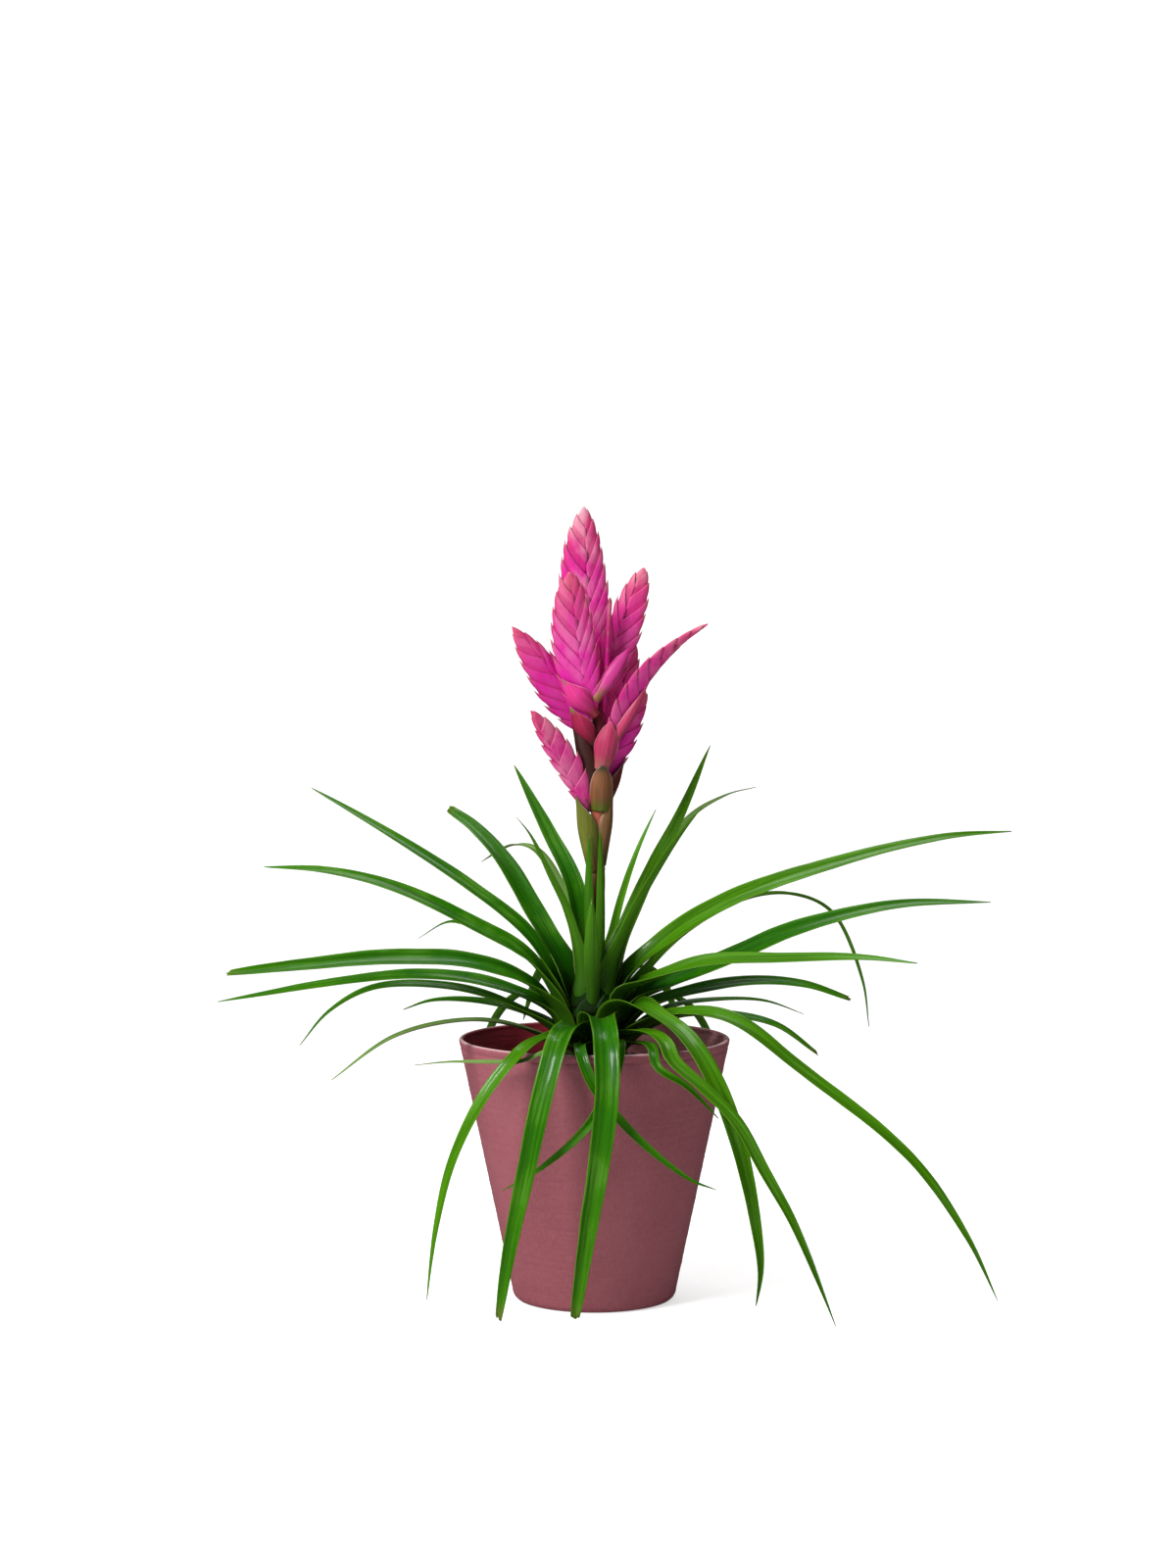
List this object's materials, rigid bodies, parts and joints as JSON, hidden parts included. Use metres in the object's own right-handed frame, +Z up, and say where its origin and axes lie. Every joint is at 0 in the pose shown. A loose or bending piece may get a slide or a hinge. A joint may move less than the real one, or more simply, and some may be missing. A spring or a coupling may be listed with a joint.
{
  "type": "potted tillandsia",
  "caption": "Potted tillandsia with arching strap leaves and an upright stalk of flattened pink bract spikes in a tapered rose pot.",
  "frame": {"origin": "centre of the pot's foot, on the surface that it stands on", "axes": "+Z up along the pot's axis; the plant's front looks along -Y; +X to its right"},
  "size_m": [0.4788, 0.283, 0.464],
  "materials": {
    "pot_rose": "matte",
    "bark_mix": "rough",
    "crown_green": "satin",
    "leaf_green": "satin",
    "leaf_grey_green": "matte",
    "stalk_bract": "satin",
    "spike_pink": "satin"
  },
  "bodies": {
    "root": {"pot": "pot_rose", "potting_mix": "bark_mix", "crown": "crown_green", "leaf_01": "leaf_green", "leaf_02": "leaf_green", "leaf_03": "leaf_green", "leaf_04": "leaf_green", "leaf_05": "leaf_green", "leaf_06": "leaf_grey_green", "leaf_07": "leaf_green", "leaf_08": "leaf_green", "leaf_09": "leaf_green", "leaf_10": "leaf_green", "leaf_11": "leaf_green", "leaf_12": "leaf_grey_green", "leaf_13": "leaf_grey_green", "leaf_14": "leaf_green", "leaf_15": "leaf_green", "leaf_16": "leaf_green", "leaf_17": "leaf_green", "leaf_18": "leaf_green", "leaf_19": "leaf_green", "leaf_20": "leaf_green", "leaf_21": "leaf_green", "leaf_22": "leaf_green", "leaf_23": "leaf_green", "leaf_24": "leaf_green", "leaf_25": "leaf_green", "leaf_26": "leaf_green", "leaf_27": "leaf_green", "leaf_28": "leaf_green", "leaf_29": "leaf_green", "leaf_30": "leaf_grey_green", "leaf_31": "leaf_green", "leaf_32": "leaf_green", "leaf_33": "leaf_green", "leaf_34": "leaf_green", "leaf_35": "leaf_green", "leaf_36": "leaf_green", "leaf_37": "leaf_green", "leaf_38": "leaf_green", "leaf_39": "leaf_green", "leaf_40": "leaf_green", "leaf_41": "leaf_green", "leaf_42": "leaf_green", "flower_stalk": "stalk_bract", "spike_1": "spike_pink", "spike_2": "spike_pink", "spike_3": "spike_pink", "spike_4": "spike_pink", "spike_5": "spike_pink", "spike_6": "spike_pink", "spike_7": "spike_pink", "spike_8": "spike_pink", "spike_9": "spike_pink"}
  },
  "joints": []
}
